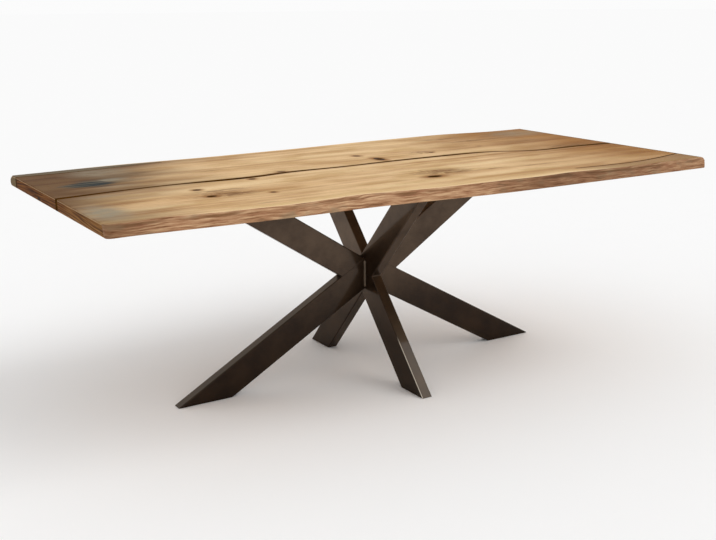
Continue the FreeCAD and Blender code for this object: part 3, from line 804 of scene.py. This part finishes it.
def brown_ends(paint):
    """Both ends are browner, beyond uneven slanting lines."""
    x, y = paint.axes(paint.place)[:2]
    uneven = paint.calc("SUBTRACT", paint.noise((1.6, 7.0, 1.0), detail=3.0), 0.5)
    shifted = paint.calc("MULTIPLY_ADD", uneven, tint_wander, x)
    left = paint.fade(paint.calc("MULTIPLY_ADD", y, -0.62, shifted), *left_brown)
    right = paint.fade(paint.calc("MULTIPLY_ADD", y, 0.22, shifted), *right_brown)
    paint.layer(srgb(124, 107, 88), left, blend="MULTIPLY")
    paint.layer(srgb(183, 152, 105), right, blend="MULTIPLY")


def smoky_figure(paint, smoke):
    """Grey veils, smoky patches and flames of figure."""
    for row in veil_shares:
        cover = paint.times(paint.fade(paint.ellipse(*spot(row)), 1.1, 0.2), paint.fade(smoke, 0.2, 0.6))
        paint.layer(srgb(145, 135, 114), cover, row[-1])
    for row in patch_shares:
        cover = paint.times(paint.fade(paint.ellipse(*spot(row)), 1.15, 0.1), paint.fade(smoke, 0.36, 0.62))
        paint.layer(srgb(116, 82, 44), cover, row[-1])
    for row in flame_shares:
        paint.layer(srgb(124, 84, 44), paint.flames(*spot(row)), row[-1])


def dark_stain(paint, place):
    """A blue-black stain that feathers out along the grain."""
    feather = paint.noise((5.0, 70.0, 0.0), place, detail=3.0, roughness=0.6)
    feathered = paint.times(paint.calc("SUBTRACT", feather, 0.5), 1.8)
    dye = paint.mix(paint.fade(feather, 0.42, 0.62), srgb(30, 37, 38), srgb(90, 84, 68))
    for row in stain_shares:
        near = paint.calc("ADD", paint.ellipse(*spot(row)), feathered)
        paint.layer(dye, paint.fade(near, 1.25, 0.35), row[-1])


def dark_knots(paint, knots, smoke):
    """Each knot's brown halo and dark heart, with uneven edges."""
    uneven = paint.times(paint.calc("SUBTRACT", smoke, 0.5), 0.9)
    for ring, dark in knots:
        near = paint.calc("ADD", ring, uneven)
        paint.layer(srgb(138, 88, 32), paint.fade(near, 2.9, 0.9), 0.85 * dark)
        paint.layer(srgb(56, 34, 10), paint.fade(near, 1.30, 0.85), dark)


def top_edges(paint, pores):
    """Bark beyond the splits, pale sapwood, pores, dark rims and a painted highlight along the crest."""
    x, y = paint.axes(paint.place)[:2]
    edge = paint.value("from_edge")
    bark = paint.mix(paint.fade(x, *bark_turn), srgb(104, 98, 80), srgb(146, 116, 80))
    paint.layer(bark, paint.value("beyond_split"), 0.58)
    sap = paint.times(paint.fade(edge, *sap_depth), paint.fade(y, *sap_front), paint.fade(x, *sap_left),
                      paint.fade(x, *sap_right))
    paint.layer(srgb(230, 198, 146), sap, 0.55)
    paint.layer(srgb(96, 66, 42), pores, 0.35)
    rims = paint.calc("MAXIMUM", paint.fade(paint.value("from_joint"), *joint_rim),
                      paint.fade(paint.value("from_split"), *split_rim))
    paint.layer(srgb(98, 62, 18), rims, 0.85)
    from_right_end = paint.calc("SUBTRACT", half_length, x)
    paint.layer(srgb(112, 88, 56), paint.fade(from_right_end, *right_end_rim), 0.6)
    # Painted highlight: a light line along the crest of the live edge
    crest_highlight = paint.times(paint.fade(edge, *crest_depth), paint.fade(x, *crest_left),
                        paint.fade(x, *crest_right))
    paint.layer(srgb(244, 214, 168), crest_highlight, 0.8)


def top_wood():
    """The oiled top: pale tan, browner at both ends, with knots, smoky figure and a dark stain."""
    paint = Paint("top_wood")
    place, knots = grain_field(paint)
    bands, fibres, pores = grain_tone(paint, place)
    smoke = paint.noise((14.0, 60.0, 0.0), place, detail=4.0, roughness=0.65)
    plain_grain(paint, place, bands, fibres)
    brown_ends(paint)
    smoky_figure(paint, smoke)
    dark_stain(paint, place)
    dark_knots(paint, knots, smoke)
    top_edges(paint, pores)
    relief = paint.calc("MULTIPLY_ADD", pores, -0.7, paint.times(fibres, 0.6))
    return paint.surface((fibres, 0.12, 0.44), relief, 0.35, top_relief, Specular_IOR_Level=0.015)


def bark_side():
    """The live edge: reddish brown, with wavy ribs, a broken dark line of painted shade where a groove runs
    along its top, and greyer patches.
    """
    paint = Paint("bark_side_wood")
    x, y, z = paint.axes(paint.place)
    wander = paint.noise((7.0, 7.0, 20.0))
    level = paint.calc("MULTIPLY_ADD", wander, rib_wander, z)
    ribs = paint.noise((13.0, 13.0, 230.0), paint.join(x, y, level), detail=4.0, roughness=0.62)
    patches = paint.noise((9.0, 9.0, 26.0), detail=3.0, roughness=0.6)
    paint.colour = paint.ramp(ribs, [(0.34, srgb(124, 84, 54)), (0.45, srgb(164, 120, 86)),
                                     (0.55, srgb(184, 142, 107)), (0.65, srgb(206, 169, 130))])
    paint.layer(srgb(150, 132, 104), paint.fade(patches, 0.52, 0.70), 0.55)
    paint.layer(srgb(150, 96, 70), paint.fade(patches, 0.44, 0.30), 0.50)
    # Painted shade: a broken dark line just below the top, for the shade in a groove
    depth = paint.calc("SUBTRACT", table_top, z)
    groove_shade = paint.times(paint.fade(depth, *groove_foot), paint.fade(depth, *groove_head),
                         paint.fade(wander, 0.40, 0.60))
    paint.layer(srgb(112, 76, 44), groove_shade, 0.7)
    right = paint.times(paint.fade(x, *bark_right), paint.fade(x, *bark_far_right))
    ends = paint.calc("MAXIMUM", paint.times(paint.fade(x, *bark_left), 0.9), right)
    paint.layer(srgb(188, 176, 166), ends, 0.9, "MULTIPLY")
    relief = paint.calc("MULTIPLY_ADD", patches, 0.5, ribs)
    return paint.surface((ribs, 0.2, 0.5), relief, 1.0, bark_relief, Specular_IOR_Level=0.12)


def end_grain():
    """The sawn ends: brown, with flat growth rings and faint saw marks, a notch in the left one painted as a
    dark patch of shade, and a painted highlight along the top arris.
    """
    paint = Paint("end_grain_wood")
    x, y, z = paint.axes(paint.place)
    rise = paint.calc("MULTIPLY_ADD", paint.noise((1.0, 6.0, 14.0)), ring_wander, z)
    level = paint.calc("ADD", rise, paint.times(y, y, 0.10))
    rings = paint.noise((1.0, 6.0, 240.0), paint.join(0.0, y, level), detail=3.0, roughness=0.55)
    fine = paint.noise((300.0, 700.0, 700.0))
    saw = paint.noise((1.0, 90.0, 4.0), detail=1.0)
    paint.colour = paint.ramp(rings, [(0.36, srgb(76, 47, 21)), (0.5, srgb(120, 80, 42)),
                                      (0.64, srgb(158, 113, 61))])
    broad = paint.calc("MULTIPLY_ADD", paint.noise((1.0, 5.0, 10.0)), sawn_wander, y)
    paint.layer(srgb(206, 184, 160), paint.fade(broad, *sawn_brown), blend="MULTIPLY")
    paint.layer(srgb(60, 38, 22), paint.fade(fine, 0.55, 0.7), 0.3)
    paint.layer(srgb(118, 108, 80), paint.value("beyond_split"), 0.6)
    paint.layer(srgb(64, 40, 14), paint.fade(paint.value("from_split"), *sawn_split_rim), 0.85)
    # Painted shade: the notch in the lower edge of the left end is a dark patch, not a cut
    from_notch = paint.calc("ABSOLUTE", paint.calc("SUBTRACT", y, notch_across))
    above = paint.calc("SUBTRACT", z, underside)
    notch_shade = paint.times(paint.fade(from_notch, *notch_sides), paint.fade(above, *notch_top),
                        paint.fade(x, *notch_end))
    paint.layer(srgb(34, 24, 16), notch_shade, 0.85)
    # Painted highlight: a light line along the top arris of the sawn ends
    paint.layer(srgb(206, 172, 132), paint.fade(z, table_top - 2 * end_ease, table_top - end_ease), 0.9)
    relief = paint.calc("MULTIPLY_ADD", saw, 0.6, paint.times(fine, 0.4))
    return paint.surface((fine, 0.15, 0.6), relief, 0.5, sawn_relief, Specular_IOR_Level=0.04)


def planed_wood(name, light, dark, roughness):
    """Plain planed wood for the underside and hidden faces, with cutter marks across the grain."""
    paint = Paint(name)
    bands, fibres, pores = grain_tone(paint, paint.place)
    paint.colour = paint.mix(bands, dark, light)
    paint.layer(dark, paint.fade(fibres, 0.6, 0.4), 0.35)
    paint.layer(srgb(90, 62, 40), pores, 0.4)
    marks = paint.calc("SINE", paint.times(paint.axes(paint.place)[0], 900.0))
    relief = paint.calc("MULTIPLY_ADD", marks, 0.08, fibres)
    return paint.surface((fibres, 0.1, roughness), relief, 0.4, planed_relief, Specular_IOR_Level=0.3)


def dark_resin():
    """Cast resin: dark brown, a little cloudy, finely scratched by sanding."""
    paint = Paint("dark_resin_cast")
    cloud = paint.noise((30.0, 60.0, 60.0), detail=3.0)
    scratch = paint.noise((60.0, 1500.0, 400.0))
    paint.colour = paint.ramp(cloud, [(0.35, srgb(50, 31, 10)), (0.65, srgb(80, 51, 18))])
    return paint.surface((scratch, 0.2, 0.55), scratch, 0.3, resin_relief, Specular_IOR_Level=0.0)


def painted_edge_highlight(paint):
    """Where a painted highlight runs along the left edge of the front leg's narrow face, near the floor."""
    x, y, z = paint.axes(paint.place)
    facing = paint.axes(paint.add("ShaderNodeNewGeometry").outputs["True Normal"])
    return paint.times(paint.fade(facing[1], -0.2, -0.4),
                       paint.fade(z, edge_highlight_height, edge_highlight_height - edge_highlight_fade),
                       paint.fade(x, -half_tube + 1.5 * edge_highlight_width, -half_tube + edge_highlight_width),
                       paint.fade(y, setback - half_tube, setback - tube_width))


def bronze_coat(name="bronze_coat_steel", light=(84, 68, 54), dark=(62, 48, 37)):
    """Dark bronze lacquer over steel: cloudy, brushed, with a slight orange peel.

    It has painted shade towards the floor, faces that look up painted faintly greyer as a painted reflection,
    and a painted highlight along one edge.
    """
    paint = Paint(name)
    cloud = paint.noise((7.0, 7.0, 7.0), detail=4.0, roughness=0.6)
    brushed = paint.noise((60.0, 60.0, 700.0))
    peel = paint.noise((420.0, 420.0, 420.0))
    height = paint.axes(paint.place)[2]
    upward = paint.axes(paint.add("ShaderNodeNewGeometry").outputs["True Normal"])[2]
    paint.colour = paint.mix(paint.fade(cloud, 0.32, 0.68), srgb(*dark), srgb(*light))
    paint.layer(srgb(96, 76, 58), paint.fade(brushed, 0.45, 0.7), 0.2)
    # Painted shade: the coat is darkened towards the floor, where less light reaches the legs
    low_shade = paint.fade(height, table_top * 0.62, table_top * 0.20)
    paint.layer(srgb(150, 134, 112), low_shade, blend="MULTIPLY")
    # Painted reflection: faces that look up are painted faintly greyer, as if they caught the pale
    # surroundings
    paint.layer(srgb(130, 126, 114), paint.fade(upward, 0.3, 0.6), 0.08)
    # Painted highlight: a light line along the left edge of the front leg's narrow face, in place of a
    # reflection
    paint.layer(srgb(206, 196, 180), painted_edge_highlight(paint), 0.85)
    relief = paint.calc("MULTIPLY_ADD", peel, 0.5, paint.times(brushed, 0.3))
    return paint.surface((cloud, 0.12, 0.24), relief, 0.15, coat_relief, Metallic=0.85, Coat_Weight=0.28,
                         Coat_Roughness=0.06, Specular_IOR_Level=0.1, Specular_Tint=srgb(225, 212, 200))


def zinc_steel():
    """Zinc-plated screws: bright grey with a faint yellow cast."""
    paint = Paint("zinc_plated_steel")
    cloud = paint.noise((260.0, 260.0, 260.0), detail=3.0)
    paint.colour = paint.mix(cloud, srgb(150, 150, 146), srgb(196, 194, 182))
    return paint.surface((cloud, 0.2, 0.3), cloud, 0.1, zinc_relief, Metallic=1.0)


def glide_plastic():
    """Moulded black plastic under the feet."""
    paint = Paint("moulded_plastic")
    grain = paint.noise((900.0, 900.0, 900.0))
    paint.colour = paint.mix(grain, srgb(30, 30, 30), srgb(52, 51, 50))
    return paint.surface((grain, 0.15, 0.5), grain, 0.25, plastic_relief)


# Camera, floor and light

def camera():
    """The photograph's view, for a frame 716 wide and 540 high."""
    yaw, pitch, roll = (math.radians(angle) for angle in (camera_yaw, camera_pitch, camera_roll))
    forward = Vector((math.sin(yaw) * math.cos(pitch), math.cos(yaw) * math.cos(pitch), -math.sin(pitch)))
    right = Vector((math.cos(yaw), -math.sin(yaw), 0))
    up = right.cross(forward)
    axis_x = right * math.cos(roll) + up * math.sin(roll)
    axis_y = up * math.cos(roll) - right * math.sin(roll)
    data = bpy.data.cameras.new("camera")
    data.sensor_fit = "HORIZONTAL"
    data.sensor_width = camera_sensor
    data.lens = camera_lens
    item = bpy.data.objects.new("camera", data)
    turn = Matrix((axis_x, axis_y, -forward)).transposed().to_4x4()
    item.matrix_world = Matrix.Translation(Vector(camera_place)) @ turn
    bpy.context.scene.collection.objects.link(item)
    bpy.context.scene.camera = item


world_light = 0.80
key_light = 0.80
key_direction = (0.50, -0.42, 0.757)
key_angle = 42
floor_white = 0.97
floor_radius = 90


def floor():
    """A wide pale floor that keeps the shadow and can be seen through from below."""
    paint = Paint("floor_white")
    faint = paint.noise((6.0, 6.0, 6.0), detail=3.0)
    colour = paint.mix(faint, (floor_white,) * 3 + (1,), (floor_white * 0.99,) * 3 + (1,))
    paint.set(Base_Color=colour, Roughness=0.9, Specular_IOR_Level=0.0)
    clear = paint.add("ShaderNodeBsdfTransparent").outputs[0]
    behind = paint.add("ShaderNodeNewGeometry").outputs["Backfacing"]
    both = paint.add("ShaderNodeMixShader", {0: behind, 1: paint.shader.outputs[0], 2: clear})
    output = paint.tree.nodes["Material Output"]
    paint.tree.links.new(both.outputs[0], output.inputs["Surface"])
    points = 64
    turns = [number * math.tau / points for number in range(points)]
    vertices = [(floor_radius * math.cos(turn), floor_radius * math.sin(turn), 0) for turn in turns]
    item = new_object("floor", vertices, [tuple(range(points))], [paint.material])


def light():
    """Even white surroundings and one broad soft key from the right of the camera."""
    world = bpy.data.worlds.new("surroundings")
    world.use_nodes = True
    tree = world.node_tree
    background = tree.nodes["Background"]
    path = tree.nodes.new("ShaderNodeLightPath")
    seen = path.outputs["Is Camera Ray"]
    for ray in ("Is Glossy Ray", "Is Transmission Ray"):
        either = tree.nodes.new("ShaderNodeMath")
        either.operation = "MAXIMUM"
        tree.links.new(seen, either.inputs[0])
        tree.links.new(path.outputs[ray], either.inputs[1])
        seen = either.outputs[0]
    level = tree.nodes.new("ShaderNodeMapRange")
    tree.links.new(seen, level.inputs["Value"])
    level.inputs["To Min"].default_value = world_light
    level.inputs["To Max"].default_value = floor_white
    tree.links.new(level.outputs[0], background.inputs["Strength"])
    background.inputs["Color"].default_value = (1, 1, 1, 1)
    bpy.context.scene.world = world

    data = bpy.data.lights.new("key", "SUN")
    data.energy = key_light
    data.angle = math.radians(key_angle)
    item = bpy.data.objects.new("key", data)
    item.rotation_mode = "QUATERNION"
    item.rotation_quaternion = Vector(key_direction).to_track_quat("Z", "Y")
    bpy.context.scene.collection.objects.link(item)


# Dressing the frame

def place_piece(piece, slot, *replaced):
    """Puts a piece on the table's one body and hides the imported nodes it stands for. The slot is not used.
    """
    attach(piece, "root")
    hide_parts(*replaced)


def dress(names, material):
    """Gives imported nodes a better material."""
    for name in names:
        data = nodes[name].data
        data.materials.clear()
        data.materials.append(material)


camera()
floor()
light()

resin = dark_resin()
bronze = bronze_coat()
weld_metal = bronze_coat("weld_metal", (98, 85, 71), (78, 66, 53))
wood = [top_wood(), bark_side(), end_grain(),
        planed_wood("underside_wood", srgb(200, 164, 122), srgb(150, 112, 76), 0.6),
        planed_wood("hidden_wood", srgb(150, 112, 76), srgb(96, 66, 42), 0.7)]

front_rounds = (left_corner_round, right_corner_round)
front = board("front_board", -1, front_rim, front_crack_shares, front_rounds, 3, wood)
place_piece(front, "live_edge_wood", "front_slab")
back = board("back_board", 1, back_rim, back_crack_shares, (arris, arris), 5, wood)
place_piece(back, "live_edge_wood", "back_slab")
joint = fill("joint_resin", stations(), joint_side(stations(), -1), joint_side(stations(), 1), resin)
place_piece(joint, "dark_resin", "joint_fill")
front_split = split_fill("front_split_resin", front_crack_shares, -1, front_rim, resin)
place_piece(front_split, "dark_resin", "front_crack_fill")
back_split = split_fill("back_split_resin", back_crack_shares, 1, back_rim, resin)
place_piece(back_split, "dark_resin", "back_crack_fill")
place_piece(knot_plugs(resin), "dark_resin", "knot_fills")
place_piece(hub_beads(weld_metal), "bronze_coat", "hub_welds")
place_piece(seams(bronze), "bronze_coat")

sides = ("left", "right", "front", "back")
dress([f"{side}_{part}" for side in sides for part in ("leg", "arm", "top_plate")] + ["foot_caps"], bronze)
dress(["floor_glides"], glide_plastic())
dress(["mounting_screws"], zinc_steel())
dress(["joint_tenons"], planed_wood("tenon_wood", srgb(214, 186, 148), srgb(178, 144, 104), 0.6))

bpy.context.scene.view_settings.view_transform = "Standard"
